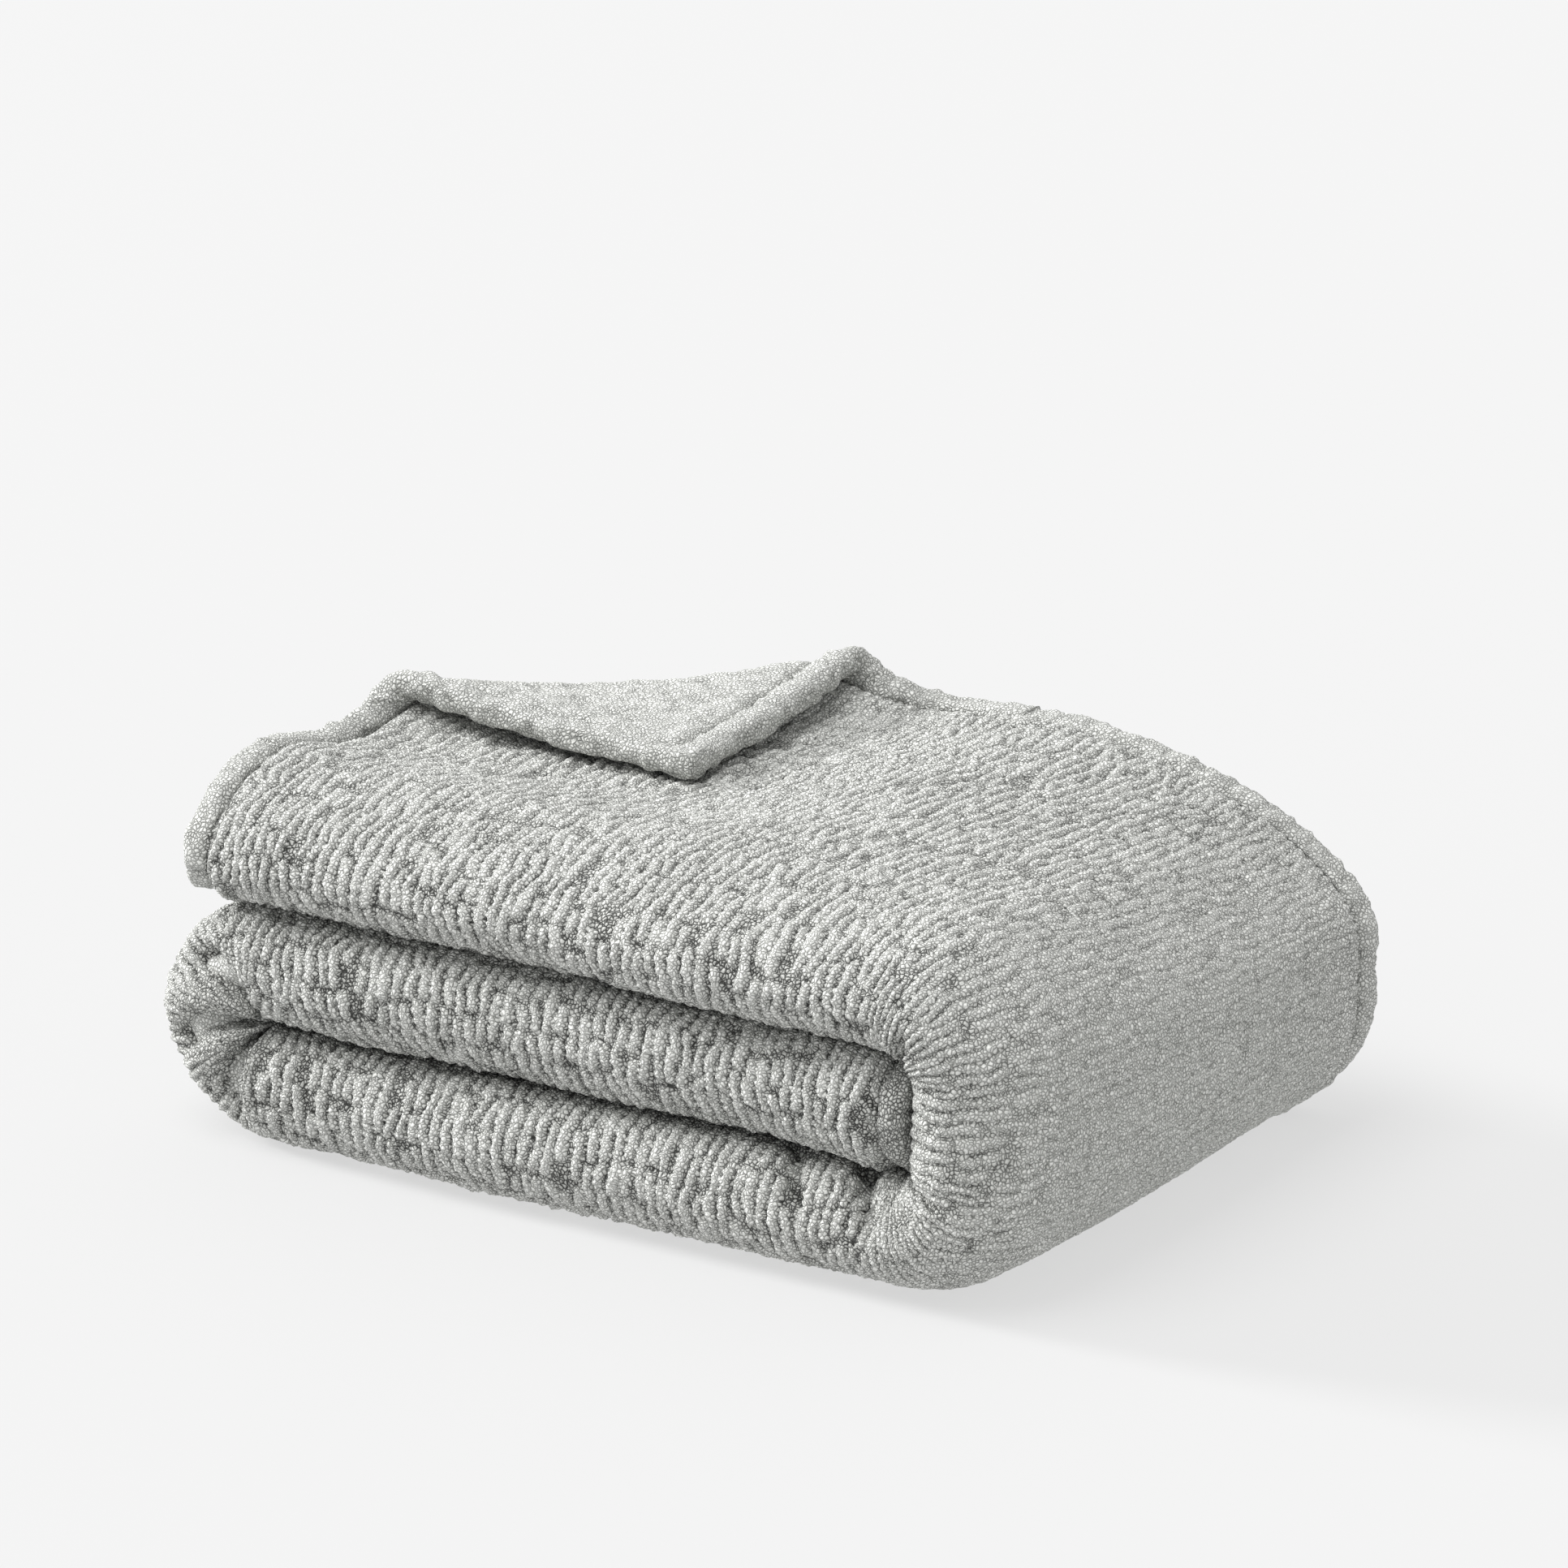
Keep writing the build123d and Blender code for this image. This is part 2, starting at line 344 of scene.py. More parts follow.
LOOP_S, LOOP_BACK, LOOP_UP, LOOP_ANGLE = loop_table()
LIFT_FLAT = CREASE_FLAT + LOOP_BACK.max()   # from the corner to where the cloth leaves the top
FLAP_FLAT = LIFT_FLAT - LOOP_S[LOOP_BACK.argmax()]   # in the cloth, from its corner to the loop's crest


def corner_place(a, b, d):
    """A point of the top ply near its corner, following the loop and lying back on the top."""
    u = (a + b) / DIAGONAL
    v = (a - b) / DIAGONAL
    along = np.clip(LIFT_FLAT - u, 0, None)
    back = np.interp(along, LOOP_S, LOOP_BACK)
    up = np.interp(along, LOOP_S, LOOP_UP)
    angle = np.interp(along, LOOP_S, LOOP_ANGLE)
    least = CLOTH * np.sin(angle / 2) ** 2
    up = least + (up - least) * (LOOP_LOW + LOOP_MORE * clamp01(np.abs(v) / HALF_LOOP) ** 2)
    depth = d - CLOTH / 2
    new_u = np.maximum(LIFT_FLAT, u) - back - depth * np.sin(angle)
    folded = np.where(angle > math.pi / 2, np.clip(new_u - CREASE_FLAT, 0, None), 0)
    new_u = new_u + FLAP_REACH * folded
    v = v + FLAP_LEAN * folded
    height = up - depth * np.cos(angle) - CLOTH / 2
    x = TOP_END + (new_u + v) / DIAGONAL
    y = BACK - (new_u - v) / DIAGONAL
    return np.stack([x, y, HEIGHT + height], axis=-1)


# ---------------------------------------------------------------- meshes
def grid_faces(rows, columns, closed=False):
    """Quads of a grid of rows x columns points; closed joins the last column to the first."""
    i = np.arange(rows - 1)[:, None]
    last = columns if closed else columns - 1
    j = np.arange(last)[None, :]
    k = (j + 1) % columns
    corners = [i * columns + j, (i + 1) * columns + j, (i + 1) * columns + k, i * columns + k]
    return np.stack([c + 0 * j for c in corners], axis=-1).reshape(-1, 4)


def grid_normals(points):
    """Outward normals of a grid whose rows run along b and whose columns run along a."""
    normal = np.cross(np.gradient(points, axis=0), np.gradient(points, axis=1))
    return normal / np.maximum(np.linalg.norm(normal, axis=-1, keepdims=True), 1e-12)


def signed_volume(points, faces):
    """Above zero, six times over, where a closed mesh's faces point outwards."""
    first, second, third = (points[faces[:, k]] for k in range(3))
    volume = (first * np.cross(second, third)).sum()
    if faces.shape[1] == 4:
        volume += (first * np.cross(third, points[faces[:, 3]])).sum()
    return volume


def make_object(name, points, faces, tone, material, closed=False):
    """A smooth-shaded mesh with its brightness and its place at rest stored at each vertex."""
    points = points.reshape(-1, 3)
    faces = np.asarray(faces)
    used = np.unique(faces)
    new_index = np.full(len(points), -1)
    new_index[used] = np.arange(len(used))
    points, faces = points[used], new_index[faces]
    mesh = bpy.data.meshes.new(name)
    corners = faces.shape[1]
    mesh.vertices.add(len(points))
    mesh.vertices.foreach_set("co", points.astype(np.float32).ravel())
    mesh.loops.add(faces.size)
    mesh.loops.foreach_set("vertex_index", faces.astype(np.int32).ravel())
    mesh.polygons.add(len(faces))
    mesh.polygons.foreach_set("loop_start", np.arange(0, faces.size, corners, dtype=np.int32))
    mesh.update(calc_edges=True)
    mesh.polygons.foreach_set("use_smooth", np.ones(len(faces), bool))
    if closed and signed_volume(points, faces) < 0:
        mesh.flip_normals()
    layer = mesh.attributes.new("tone", "FLOAT", "POINT")
    layer.data.foreach_set("value", tone.reshape(-1)[used].astype(np.float32))
    cloth = mesh.attributes.new("cloth", "FLOAT_VECTOR", "POINT")
    cloth.data.foreach_set("vector", points.astype(np.float32).ravel())
    mesh.materials.append(material)
    mesh.validate()
    obj = bpy.data.objects.new(name, mesh)
    bpy.context.collection.objects.link(obj)
    return obj


# ---------------------------------------------------------------- materials
def node_of(tree, kind, **values):
    """A shader node with its properties, or else its inputs, set from values."""
    node = tree.nodes.new(kind)
    for key, value in values.items():
        if hasattr(node, key):
            setattr(node, key, value)
        else:
            node.inputs[key.replace("_", " ")].default_value = value
    return node


def math_node(tree, operation, first, second, third=None):
    """A Math node fed by sockets or numbers; gives its output socket."""
    node = tree.nodes.new("ShaderNodeMath")
    node.operation = operation
    for socket, value in zip(node.inputs, (first, second, third)):
        if isinstance(value, bpy.types.NodeSocket):
            tree.links.new(value, socket)
        elif value is not None:
            socket.default_value = value
    return node.outputs[0]


def cloth_material(name, dark, mid, light, grain, bump):
    """Looped pile: rounded loops about one grain wide with painted shade in the cracks between them,
    each loop a little lighter or darker than the next, slow changes of tone, and sheen."""
    material = bpy.data.materials.new(name)
    material.use_nodes = True
    tree = material.node_tree
    shader = tree.nodes["Principled BSDF"]
    shader.inputs["Roughness"].default_value = 0.95
    shader.inputs["Specular IOR Level"].default_value = 0.10
    shader.inputs["Sheen Weight"].default_value = 0.12
    shader.inputs["Sheen Roughness"].default_value = 0.55

    where = node_of(tree, "ShaderNodeAttribute", attribute_name="cloth").outputs["Vector"]
    tone = node_of(tree, "ShaderNodeAttribute", attribute_name="tone").outputs["Fac"]
    scaled = tree.nodes.new("ShaderNodeMapping")
    scaled.inputs["Scale"].default_value = (1 / grain, 1 / grain, 1 / grain)
    tree.links.new(where, scaled.inputs["Vector"])
    warp = node_of(tree, "ShaderNodeTexNoise", Scale=0.6, Detail=1.0)
    tree.links.new(scaled.outputs["Vector"], warp.inputs["Vector"])
    moved = node_of(tree, "ShaderNodeMixRGB", blend_type="ADD")
    moved.inputs["Fac"].default_value = 1.0
    tree.links.new(scaled.outputs["Vector"], moved.inputs["Color1"])
    tree.links.new(warp.outputs["Color"], moved.inputs["Color2"])
    edges = node_of(tree, "ShaderNodeTexVoronoi", feature="DISTANCE_TO_EDGE", Scale=1.0)
    tree.links.new(moved.outputs["Color"], edges.inputs["Vector"])
    cells = node_of(tree, "ShaderNodeTexVoronoi", feature="F1", Scale=1.0)
    tree.links.new(moved.outputs["Color"], cells.inputs["Vector"])
    patches = node_of(tree, "ShaderNodeTexNoise", Scale=38.0, Detail=2.0)
    tree.links.new(where, patches.inputs["Vector"])

    dome = math_node(tree, "POWER", math_node(tree, "MULTIPLY", edges.outputs["Distance"], 2.0), 0.6)
    bumped = node_of(tree, "ShaderNodeBump", Strength=bump, Distance=0.0013)
    tree.links.new(dome, bumped.inputs["Height"])
    tree.links.new(bumped.outputs["Normal"], shader.inputs["Normal"])

    # Painted shade: the cracks between the loops are darkened in the colour.
    crack = math_node(tree, "MULTIPLY", edges.outputs["Distance"], 4.0)
    tree.nodes[-1].use_clamp = True
    shade = math_node(tree, "MULTIPLY_ADD", crack, 0.46, math_node(tree, "MULTIPLY", tone, 0.62))
    shade = math_node(tree, "MULTIPLY_ADD", cells.outputs["Color"], 0.09, shade)
    shade = math_node(tree, "MULTIPLY_ADD", patches.outputs["Fac"], 0.10, shade)
    ramp = node_of(tree, "ShaderNodeValToRGB")
    stops = ramp.color_ramp.elements
    stops[0].position, stops[0].color = 0.30, (*dark, 1)
    stops[1].position, stops[1].color = 1.00, (*light, 1)
    middle = stops.new(0.64)
    middle.color = (*mid, 1)
    tree.links.new(shade, ramp.inputs["Fac"])
    tree.links.new(ramp.outputs["Color"], shader.inputs["Base Color"])
    return material


KNIT = cloth_material("knit", (0.045, 0.046, 0.042), (0.56, 0.567, 0.538), (0.86, 0.868, 0.835), 0.0019, 1.0)
HEM = cloth_material("hem_knit", (0.06, 0.061, 0.056), (0.52, 0.527, 0.50), (0.84, 0.848, 0.815), 0.0019, 1.0)


def plain_material(name, colour, roughness, grain_scale, grain_strength):
    """Thread or ribbon: one colour with a fine twist or weave."""
    material = bpy.data.materials.new(name)
    material.use_nodes = True
    tree = material.node_tree
    shader = tree.nodes["Principled BSDF"]
    shader.inputs["Roughness"].default_value = roughness
    where = node_of(tree, "ShaderNodeTexCoord")
    grain = node_of(tree, "ShaderNodeTexWave", Scale=grain_scale, Distortion=0.6)
    tree.links.new(where.outputs["Object"], grain.inputs["Vector"])
    tint = node_of(tree, "ShaderNodeMixRGB")
    tint.inputs["Color1"].default_value = (*colour, 1)
    tint.inputs["Color2"].default_value = (*[0.8 * c for c in colour], 1)
    tree.links.new(grain.outputs["Fac"], tint.inputs["Fac"])
    tree.links.new(tint.outputs["Color"], shader.inputs["Base Color"])
    bumped = node_of(tree, "ShaderNodeBump", Strength=grain_strength, Distance=0.0002)
    tree.links.new(grain.outputs["Fac"], bumped.inputs["Height"])
    tree.links.new(bumped.outputs["Normal"], shader.inputs["Normal"])
    return material


THREAD = plain_material("thread_twist", (0.36, 0.365, 0.35), 0.7, 1400.0, 0.6)
LABEL = plain_material("label_satin", (0.86, 0.86, 0.84), 0.35, 2500.0, 0.3)


# ---------------------------------------------------------------- sheets of knit
def seam_dip(distance):
    """The groove beside a hem, and the knit swelling up next to it."""
    return -0.0050 * bell(distance, SEAM, 0.0032) + 0.0016 * bell(distance, SEAM + 0.011, 0.009)


def rows_of(*stretches):
    """Values along b: each stretch is (start, end, spacing)."""
    values = []
    for start, end, spacing in stretches:
        count = max(2, int(round((end - start) / spacing)))
        values.append(np.linspace(start, end, count, endpoint=False))
    values.append(np.array([stretches[-1][1]]))
    return np.concatenate(values)


OUTER_ROWS = rows_of((SEAM - 0.002, WIDTH + 0.075, GRID), (WIDTH + 0.075, B_END, 0.0021))
INNER_ROWS = rows_of((-UNDER_HEM, B_INNER_FLAT, 0.004), (B_INNER_FLAT, B_INNER_FOLD, 0.004),
                     (B_INNER_FOLD, B_INNER_END, 0.006))


def left_creases(a, angle):
    """Creases where the front fold is squeezed round the left-hand turn."""
    share = (a - A_LEFT) / (A_MIDDLE - A_LEFT)
    inside = smooth(0.5, 1.1, angle) * (1 - smooth(2.9, 3.3, angle))
    creases = 0
    for centre, width, depth in ((0.17, 0.060, 0.013), (0.47, 0.065, 0.018), (0.80, 0.075, 0.016)):
        creases = creases + depth * bell(share, centre + 0.08 * (angle - math.pi / 2), width)
    return creases * inside


def right_creases(a, angle):
    """Short creases in the front fold on both sides of the right-hand turn's lower corner."""
    inside = smooth(1.3, 2.2, angle) * (1 - smooth(3.0, 3.3, angle))
    creases = 0
    for middle, width, depth in ((A_BOTTOM + 0.012, 0.006, 0.010), (A_BOTTOM + 0.052, 0.005, 0.007),
                                 (A_SIDE_END + 0.03, 0.008, 0.006), (A_TURN + 0.05, 0.010, 0.006)):
        creases = creases + depth * bell(a, middle + 0.012 * (angle - 2.2), width)
    return creases * inside


def sheet_points(a, b):
    """The outer sheet's face with its creases, settled but without the knit's relief."""
    y, q, angle = outer_section(a, b)
    wave = 0.0035 * noise(a / 0.075, np.full_like(a, 0.3), 61) + 0.0015 * noise(a / 0.028, b / 0.05, 62)
    creases = left_creases(a, angle) + right_creases(a, angle)
    dent = creases + wave * np.sin(np.clip(angle, 0, math.pi))
    return settle(place(a, y, q, angle, dent)), angle, creases


def squeezed(a, angle):
    """1 where the front fold is gathered inside the left-hand turn, and 0 elsewhere."""
    in_turn = smooth(A_LEFT - 0.01, A_LEFT + 0.02, a) * (1 - smooth(A_MIDDLE - 0.03, A_MIDDLE, a))
    return in_turn * smooth(0.8, 1.5, angle)


def knit_strength(a, angle):
    """The cables show most on the front and the top, and least on the stretched right-hand end."""
    stretched = smooth(A_TURN - 0.02, A_SIDE, a) * (1 - smooth(A_BOTTOM - 0.03, A_BOTTOM + 0.02, a))
    front = np.sin(np.clip(angle, 0, math.pi))
    return (1 - 0.55 * squeezed(a, angle)) * (0.78 + 0.4 * front) * (1 - 0.65 * stretched * (1 - 0.6 * front))


def hidden(a, angle):
    """How deep a place lies in the crevices between levels, where no light reaches the pile."""
    under = 1.7 * smooth(2.45, 3.05, angle)
    covered = smooth(A_MIDDLE - 0.03, A_MIDDLE + 0.03, a) * (1 - smooth(0.15, 0.75, angle))
    return np.maximum(under, covered)


def relief(a, b, strength, edge):
    """(height, brightness) of the knit face, with the groove beside the hems and painted shade in that groove."""
    height, tone = knit(a, b, strength)
    height = height * smooth(SEAM, SEAM + 0.004, edge) + seam_dip(edge)
    # Painted shade: the knit is darkened in the groove beside the hems.
    return height, tone * (1 - 0.5 * bell(edge, SEAM, 0.003))


def outer_sheet(name, a_low, a_high, keep=None):
    """The first and last plies of one stretch of the strip, with the fold round the front."""
    count = max(2, int(round((a_high - a_low) / GRID)))
    line = np.linspace(a_low, a_high, count + 1)
    a, b = np.meshgrid(line, OUTER_ROWS)
    points, angle, creases = sheet_points(a, b)
    normals = grid_normals(points)
    edge = np.minimum(np.minimum(b, a), A_END - a)
    height, tone = relief(a, b, knit_strength(a, angle), edge)
    points = points + normals * height[..., None]
    # Painted shade: the pile is darkened in the crevices between levels and where the front fold is gathered
    # inside the left-hand turn.
    tone = tone * (1 - 0.40 * hidden(a, angle)) * (1 - 0.25 * squeezed(a, angle))
    # Painted shade: the pile is darkened along the creases.
    tone = tone * (1 - 0.5 * clamp01(creases / 0.016))
    faces = grid_faces(len(OUTER_ROWS), len(line))
    if keep is not None:
        centre_a = a.reshape(-1)[faces].mean(axis=1)
        centre_b = b.reshape(-1)[faces].mean(axis=1)
        faces = faces[keep(centre_a, centre_b)]
    return make_object(name, points, faces, tone, KNIT)


def inner_sheet(name, a_low, a_high):
    """The two plies inside one stretch of the strip."""
    count = max(2, int(round((a_high - a_low) / 0.004)))
    line = np.linspace(a_low, a_high, count + 1)
    a, b = np.meshgrid(line, INNER_ROWS)
    points = settle(place(a, *inner_section(a, b), 0.0))
    height, tone = plush(a, b)
    points = points + grid_normals(points) * height[..., None]
    faces = grid_faces(len(INNER_ROWS), len(line))
    return make_object(name, points, faces, tone, KNIT)


def on_top(a, b):
    """True where the top's cloth hasn't lifted into the turned-back corner."""
    return a + b > LIFT_FLAT * DIAGONAL - 0.004


top_sheet = outer_sheet("top_sheet", SEAM - 0.002, A_TURN, keep=on_top)
turn_sheet = outer_sheet("right_turn_sheet", A_TURN, A_BOTTOM)
bottom_sheet = outer_sheet("bottom_sheet", A_BOTTOM, A_LEFT)
left_sheet = outer_sheet("left_turn_sheet", A_LEFT, A_MIDDLE)
middle_sheet = outer_sheet("middle_sheet", A_MIDDLE, A_END - SEAM + 0.002)
top_inner = inner_sheet("top_inner_sheet", SEAM - UNDER_HEM, A_TURN)
turn_inner = inner_sheet("right_turn_inner_sheet", A_TURN, A_BOTTOM)
lower_inner = inner_sheet("lower_inner_sheet", A_BOTTOM, A_END - SEAM + UNDER_HEM)


# ---------------------------------------------------------------- the corner's two pieces
def corner_piece(name, low, high):
    """Both faces of the top ply's corner, between two lines parallel to the crease.
    low and high are those lines' values of a + b in the cloth."""
    start = SEAM - 0.002
    count = int(math.ceil((high - 2 * start) / GRID))
    step = (high - 2 * start) / count
    first = max(0, int(round((low - 2 * start) / step)))
    i, j = np.meshgrid(np.arange(count + 1), np.arange(count + 1), indexing="ij")
    a, b = start + i * step, start + j * step
    corner = np.minimum(a, b)
    face = settle(corner_place(a, b, 0.0))
    back = settle(corner_place(a, b, CLOTH))
    face_height, face_tone = relief(a, b, 0.62, corner)
    back_height, back_tone = plush(a, b)
    back_height = back_height + 0.5 * seam_dip(corner)
    outward = grid_normals(face)
    face = face - outward * face_height[..., None]
    back = back + grid_normals(back) * back_height[..., None]
    # Painted shade in the groove beside the hems, on the back face.
    back_tone = back_tone * (1 - 0.3 * bell(corner, SEAM, 0.003))

    number = i * (count + 1) + j
    total = number.size
    lower, upper = number[:-1, :-1], number[1:, 1:]
    beside, above = number[1:, :-1], number[:-1, 1:]
    diagonal = (i + j)[:-1, :-1]
    near = (diagonal >= first) & (diagonal < count)
    far = (diagonal >= first - 1) & (diagonal < count - 1)
    top = np.concatenate([
        np.stack([lower[near], beside[near], above[near]], axis=-1),
        np.stack([upper[far], above[far], beside[far]], axis=-1),
    ])
    rim = []
    k = np.arange(max(first, 0), count)
    for edge in (number[k, 0], number[0, k][::-1]):
        rim.append(edge)
    across = np.arange(count + 1)
    rim.append(number[across, count - across][::-1])
    if first > 0:
        across = np.arange(first + 1)
        rim.append(number[across, first - across])
    sides = []
    for line in rim:
        p, q = line[:-1], line[1:]
        sides.append(np.stack([p, q, q + total], axis=-1))
        sides.append(np.stack([p, q + total, p + total], axis=-1))
    faces = np.concatenate([top, top[:, ::-1] + total] + sides)
    points = np.concatenate([face.reshape(-1, 3), back.reshape(-1, 3)])
    tone = np.concatenate([face_tone.ravel(), back_tone.ravel()])
    return make_object(name, points, faces, tone, KNIT, closed=True)


CURL_LINE = FLAP_FLAT * DIAGONAL
LIFT_LINE = LIFT_FLAT * DIAGONAL
corner_flap = corner_piece("corner_flap", 0.0, CURL_LINE)
corner_curl = corner_piece("corner_curl", CURL_LINE, LIFT_LINE)


# ---------------------------------------------------------------- hems
HEM_SIDES = 26


def hem_ring(count):
    """Offsets across a hem and in depth, round its plump section, for count stations."""
    turn = np.linspace(0, 2 * math.pi, HEM_SIDES, endpoint=False)
    across = np.sign(np.cos(turn)) * np.abs(np.cos(turn)) ** 0.75 * SEAM / 2
    deep = -np.sign(np.sin(turn)) * np.abs(np.sin(turn)) ** 0.8 * HEM_THICKNESS / 2
    return np.tile(across, (count, 1)), np.tile(deep, (count, 1)), np.tile(turn, (count, 1))


def hem_object(name, points, length, turn, shade=1.0):
    """The tube through points, with pile on it and its ends closed; shade below 1 darkens it as painted shade."""
    around = np.roll(points, -1, axis=1) - np.roll(points, 1, axis=1)
    outward = np.cross(np.gradient(points, axis=0), around)
    outward = outward / np.maximum(np.linalg.norm(outward, axis=-1, keepdims=True), 1e-12)
    centre = points.mean(axis=1, keepdims=True)
    facing = np.sign((outward * (points - centre)).sum(axis=-1, keepdims=True))
    round_about = turn / (2 * math.pi) * 0.046
    height, tone = plush(length, round_about)
    points = points + outward * facing * height[..., None] * 1.3
    # Painted shade: shade below 1 darkens a hem that lies in shadow.
    tone = tone * shade
    ends = points[[0, -1]]
    caps = np.broadcast_to(ends.mean(axis=1, keepdims=True), ends.shape)
    points = np.concatenate([caps[:1], points, caps[1:]])
    tone = np.concatenate([tone[:1], tone, tone[-1:]])
    return make_object(name, points, grid_faces(len(points), HEM_SIDES, closed=True), tone, HEM, closed=True)


def hem_swell(length):
    """How plump a hem is along its length."""
    return 1 + 0.04 * noise(length / 0.03, 0 * length, 71) + 0.03 * noise(length / 0.011, 0 * length, 72)


def stations(low, high):
    """Places along a hem, one row of HEM_SIDES for each."""
    return np.repeat(np.linspace(low, high, int((high - low) / 0.0016))[:, None], HEM_SIDES, axis=1)


def back_hem(name, a_low, a_high, depth):
    """A hem along the back, from a_low to a_high, whose middle is at depth."""
    a = stations(a_low, a_high)
    across, deep, turn = hem_ring(len(a))
    swell = hem_swell(a + depth)
    y = BACK - SEAM / 2 + across * swell
    points = settle(place(a, y, 0 * a, 0 * a, depth + deep * swell))
    return hem_object(name, points, a, turn)


def end_hem(name, curve, b_low, b_high, a_middle, top_depth, shade=1.0):
    """A hem across the strip's end, following a cross-section from b_low to b_high."""
    b = stations(b_low, b_high)
    across, deep, turn = hem_ring(len(b))
    swell = hem_swell(b + a_middle)
    a = a_middle + across * swell
    y, q, angle = curve(np.full_like(b, a_middle), b)
    points = settle(place(a, y, q, angle, top_depth + HEM_THICKNESS / 2 - 0.001 + deep * swell))
    return hem_object(name, points, b, turn, shade)


def corner_hem(name, along_end, low, high):
    """A hem of the turned-back corner: along the strip's end, or along its back edge."""
    run = stations(low, high)
    across, deep, turn = hem_ring(len(run))
    swell = hem_swell(run + (0 if along_end else 0.5))
    edge = SEAM / 2 + across * swell
    a, b = (edge, run) if along_end else (run, edge)
    points = settle(corner_place(a, b, CLOTH / 2 + deep * swell))
    return hem_object(name, points, run, turn)


OUTER_DEPTH = HEM_THICKNESS / 2 - 0.001
INNER_DEPTH = PLY + HEM_THICKNESS / 2
top_back_hem = back_hem("top_back_hem", LIFT_LINE - 0.004, A_TURN, OUTER_DEPTH)
turn_back_hem = back_hem("right_turn_back_hem", A_TURN, A_BOTTOM, OUTER_DEPTH)
bottom_back_hem = back_hem("bottom_back_hem", A_BOTTOM, A_LEFT, OUTER_DEPTH)
left_back_hem = back_hem("left_turn_back_hem", A_LEFT, A_MIDDLE, OUTER_DEPTH)
middle_back_hem = back_hem("middle_back_hem", A_MIDDLE, A_END, OUTER_DEPTH)
top_inner_hem = back_hem("top_inner_back_hem", 0.0, A_TURN, INNER_DEPTH)
turn_inner_hem = back_hem("right_turn_inner_back_hem", A_TURN, A_BOTTOM, INNER_DEPTH)
lower_inner_hem = back_hem("lower_inner_back_hem", A_BOTTOM, A_END, INNER_DEPTH)
top_end = end_hem("top_end_hem_outer", outer_section, LIFT_LINE - 0.004, B_END, SEAM / 2, 0.0)
top_end_inner = end_hem("top_end_hem_inner", inner_section, -0.010, B_INNER_END, SEAM / 2, 0.0)
# The middle level's end hems lie deep between the levels and are painted at half brightness: painted shade.
middle_end = end_hem("middle_end_hem_outer", outer_section, 0.006, B_END, A_END - SEAM / 2, 0.0, 0.5)
middle_end_inner = end_hem("middle_end_hem_inner", inner_section, -0.010, B_INNER_END, A_END - SEAM / 2, 0.0, 0.5)
flap_end = corner_hem("corner_flap_end_hem", True, 0.001, CURL_LINE)
flap_side = corner_hem("corner_flap_side_hem", False, 0.001, CURL_LINE)
curl_end = corner_hem("corner_curl_end_hem", True, CURL_LINE, LIFT_LINE)
curl_side = corner_hem("corner_curl_side_hem", False, CURL_LINE, LIFT_LINE)


# ---------------------------------------------------------------- stitches and the care label
STITCH = 0.0040
STITCH_STEP = 0.0052
THREAD_RADIUS = 0.00045


def stitches(name, runs):
    """Short lengths of thread along lines; each run is a function of length, with its two ends."""
    turn = np.linspace(0, 2 * math.pi, 6, endpoint=False)
    t = np.linspace(-1, 1, 5)
    all_points, all_faces = [], []
    total = 0
    for line, low, high in runs:
        for centre in np.arange(low + STITCH_STEP / 2, high, STITCH_STEP):
            middle = line(centre + t * STITCH / 2)
            along = np.gradient(middle, axis=0)
            along = along / np.linalg.norm(along, axis=-1, keepdims=True)
            side = np.cross(along, (0.31, 0.43, 0.85))
            side = side / np.linalg.norm(side, axis=-1, keepdims=True)
            other = np.cross(along, side)
            radius = THREAD_RADIUS * np.array([0.15, 1, 1, 1, 0.15])[:, None, None]
            ring = (middle[:, None] + radius * (side[:, None] * np.cos(turn)[None, :, None]
                                                + other[:, None] * np.sin(turn)[None, :, None]))
            all_points.append(ring.reshape(-1, 3))
            all_faces.append(grid_faces(5, 6, closed=True) + total)
            total += ring.shape[0] * ring.shape[1]
    points = np.concatenate(all_points)
    return make_object(name, points, np.concatenate(all_faces), np.full(len(points), 0.5), THREAD)


GROOVE = 0.0036                              # how deep the thread lies beside a hem


def back_line(a):
    """The seam beside the back hem."""
    return settle(place(a, 0 * a + BACK - SEAM, 0 * a, 0 * a, GROOVE))


def end_line(a_seam):
    """The seam beside the hem of one of the strip's ends."""
    def line(b):
        column = b[:, None]
        y, q, angle = outer_section(np.full_like(column, a_seam), column)
        return settle(place(np.full_like(column, a_seam), y, q, angle, GROOVE))[:, 0]
    return line


def flap_end_line(b):
    """The flap's seam along the strip's end."""
    return settle(corner_place(0 * b + SEAM, b, CLOTH - GROOVE / 2))


def flap_side_line(a):
    """The flap's seam along the strip's back edge."""
    return settle(corner_place(a, 0 * a + SEAM, CLOTH - GROOVE / 2))


top_stitches = stitches("top_stitches", [(back_line, LIFT_LINE - SEAM, A_TURN),
                                         (end_line(SEAM), LIFT_LINE - SEAM, WIDTH)])
turn_stitches = stitches("right_turn_stitches", [(back_line, A_TURN, A_BOTTOM)])
lower_stitches = stitches("lower_stitches", [(back_line, A_BOTTOM, A_END - SEAM),
                                             (end_line(A_END - SEAM), SEAM, WIDTH)])
corner_stitches = stitches("corner_stitches", [(flap_end_line, SEAM, CURL_LINE - SEAM),
                                               (flap_side_line, SEAM, CURL_LINE - SEAM)])


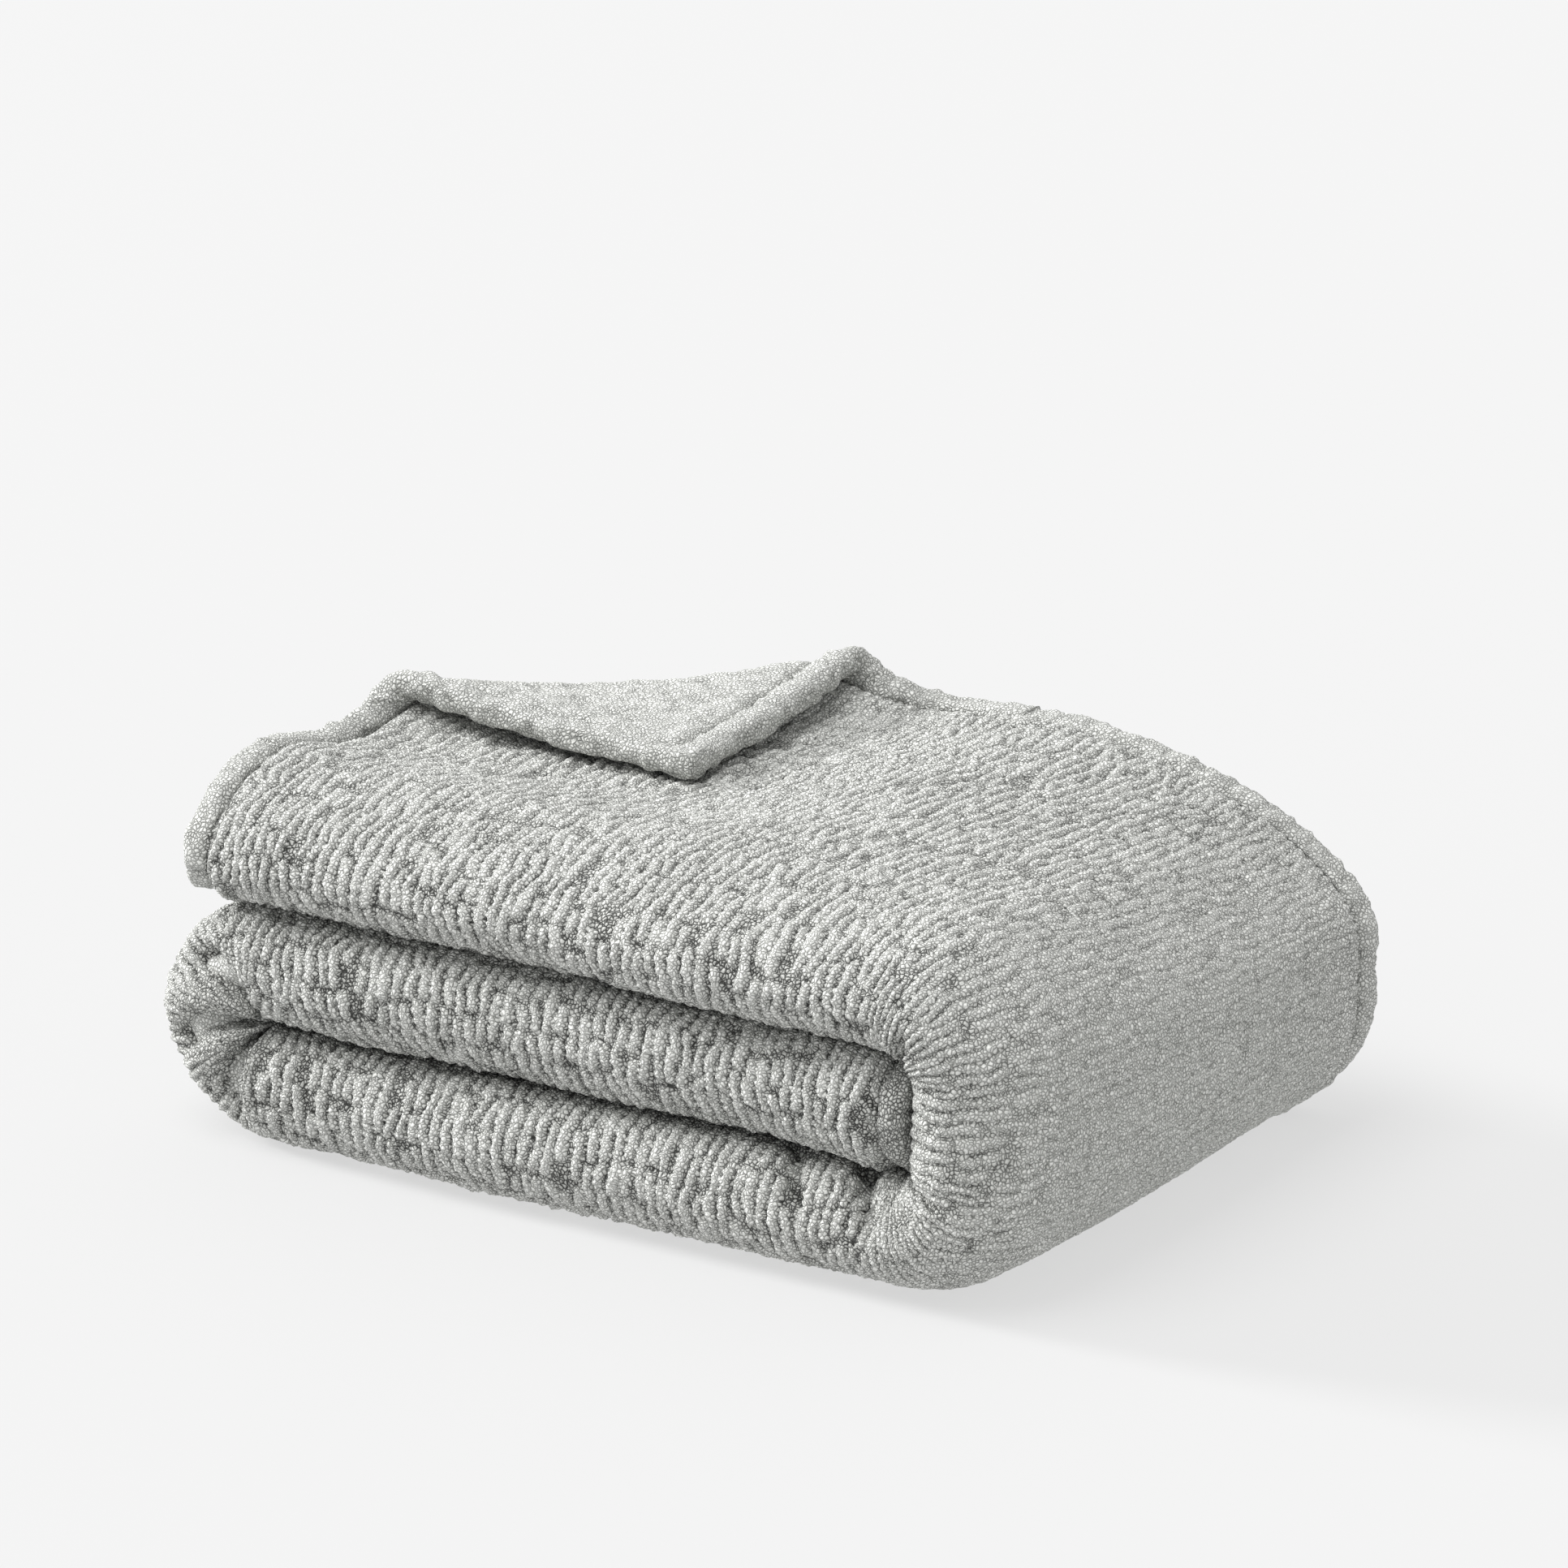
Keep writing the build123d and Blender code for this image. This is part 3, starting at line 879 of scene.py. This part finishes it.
def label_piece():
    """A blank ribbon folded in half, hanging from the inner hem at the back."""
    low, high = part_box("care_label")
    width = np.linspace(low.x, high.x, 13)
    t = np.linspace(0, 1, 33)
    fold = np.clip((t - 0.45) / 0.10, 0, 1) * math.pi
    reach = high.y - low.y
    out = reach * (1 - np.abs(2 * t - 1)) + 0.0006 * np.sin(fold)
    apart = 0.0009 * np.cos(fold) + 0.0006 * np.sin(6 * t)
    x, out = np.meshgrid(width, out)
    ripple = 0.0008 * np.sin(9 * out / reach) * np.cos(4 * (x - low.x) / (high.x - low.x))
    apart = np.tile(apart[:, None], (1, len(width))) + ripple
    middle = (low.z + high.z) / 2
    points = settle(np.stack([x, low.y + out, middle + apart], axis=-1))
    return make_object("care_label_ribbon", points, grid_faces(*x.shape), 0 * x + 0.5, LABEL)


care_label = label_piece()


# ---------------------------------------------------------------- stage, lights and camera
AZIMUTH = math.radians(34.7)
ELEVATION = math.radians(17.9)
DISTANCE = 6.0
FRAME_WIDTH = 0.742
right_way = np.array([math.cos(AZIMUTH), math.sin(AZIMUTH), 0])
up_way = np.array([-math.sin(AZIMUTH) * math.sin(ELEVATION), math.cos(AZIMUTH) * math.sin(ELEVATION),
                   math.cos(ELEVATION)])
back_way = np.cross(right_way, up_way)
aim = up_way * 0.1646 + right_way * 0.0033
camera_data = bpy.data.cameras.new("camera")
camera_data.sensor_width = 36.0
camera_data.lens = 36.0 * DISTANCE / FRAME_WIDTH
camera = bpy.data.objects.new("camera", camera_data)
bpy.context.collection.objects.link(camera)
camera.location = aim + back_way * DISTANCE
camera.rotation_euler = (math.pi / 2 - ELEVATION, 0, AZIMUTH)
bpy.context.scene.camera = camera

floor_mesh = bpy.data.meshes.new("floor")
floor_mesh.from_pydata([(-6, -6, 0), (6, -6, 0), (6, 6, 0), (-6, 6, 0)], [], [(0, 1, 2, 3)])
floor = bpy.data.objects.new("floor", floor_mesh)
bpy.context.collection.objects.link(floor)
floor_material = bpy.data.materials.new("floor_paper")
floor_material.use_nodes = True
paper = floor_material.node_tree.nodes["Principled BSDF"]
paper.inputs["Base Color"].default_value = (0.17, 0.17, 0.17, 1)
paper.inputs["Roughness"].default_value = 0.9
paper.inputs["Emission Color"].default_value = (1, 1, 1, 1)    # a lit sweep, whose shadows are weak
paper.inputs["Emission Strength"].default_value = 0.60
floor_mesh.materials.append(floor_material)

world = bpy.data.worlds.new("studio")
world.use_nodes = True
world.node_tree.nodes["Background"].inputs["Color"].default_value = (1, 1, 1, 1)
world.node_tree.nodes["Background"].inputs["Strength"].default_value = 0.72
bpy.context.scene.world = world
bpy.context.scene.view_settings.view_transform = "Standard"


def sun(name, energy, width, elevation, azimuth):
    """Light that comes down at elevation and travels along azimuth, measured from +X."""
    data = bpy.data.lights.new(name, "SUN")
    data.energy = energy
    data.angle = math.radians(width)
    obj = bpy.data.objects.new(name, data)
    obj.rotation_euler = (0, math.radians(elevation - 90), math.radians(azimuth))
    bpy.context.collection.objects.link(obj)


sun("key", 2.9, 14.0, 22.0, 9.0)
sun("overhead", 1.7, 45.0, 68.0, 60.0)


for piece in (bottom_sheet, left_sheet, middle_sheet, lower_inner, bottom_back_hem, left_back_hem, middle_back_hem,
              lower_inner_hem, middle_end, middle_end_inner, lower_stitches, care_label):
    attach(piece, "lower_levels")
for piece in (top_sheet, top_inner, top_back_hem, top_inner_hem, top_end, top_end_inner, top_stitches):
    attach(piece, "top_level")
for piece in (corner_flap, flap_end, flap_side, corner_stitches):
    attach(piece, "turned_corner")
for piece in (turn_sheet, turn_inner, turn_back_hem, turn_inner_hem, turn_stitches):
    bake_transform(piece)
for piece in (corner_curl, curl_end, curl_side):
    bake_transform(piece)

# ---------------------------------------------------------------- what each piece stands for
STANDS_FOR = (
    (top_sheet, "top_outer_ply", "top_back_fold"),
    (top_inner, "top_inner_ply"),
    (top_back_hem, "top_outer_hem"),
    (top_inner_hem, "top_inner_hem"),
    (top_end, "top_end_hem"),
    (top_stitches, "top_hem_stitching"),
    (turn_sheet, "right_turn_upper_outer_ply", "right_turn_upper_back_fold", "right_turn_lower_outer_ply",
     "right_turn_lower_back_fold"),
    (turn_inner, "right_turn_upper_inner_ply", "right_turn_lower_inner_ply"),
    (turn_back_hem, "right_turn_upper_outer_hem", "right_turn_lower_outer_hem"),
    (turn_inner_hem, "right_turn_upper_inner_hem", "right_turn_lower_inner_hem"),
    (turn_stitches, "right_turn_upper_hem_stitching", "right_turn_lower_hem_stitching"),
    (bottom_sheet, "bottom_outer_ply", "bottom_back_fold"),
    (left_sheet, "left_turn_outer_ply", "left_turn_back_fold"),
    (middle_sheet, "middle_outer_ply", "middle_back_fold"),
    (lower_inner, "bottom_inner_ply", "left_turn_inner_ply", "middle_inner_ply"),
    (bottom_back_hem, "bottom_outer_hem"),
    (left_back_hem, "left_turn_outer_hem"),
    (middle_back_hem, "middle_outer_hem"),
    (lower_inner_hem, "bottom_inner_hem", "left_turn_inner_hem", "middle_inner_hem"),
    (middle_end, "middle_end_hem"),
    (lower_stitches, "bottom_hem_stitching", "left_turn_hem_stitching", "middle_hem_stitching"),
    (corner_flap, "corner_sheet"),
    (flap_end, "corner_end_hem"),
    (flap_side, "corner_side_hem"),
    (corner_stitches, "corner_hem_stitching"),
    (care_label, "care_label"),
)
for piece, *nodes in STANDS_FOR:
    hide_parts(*nodes)
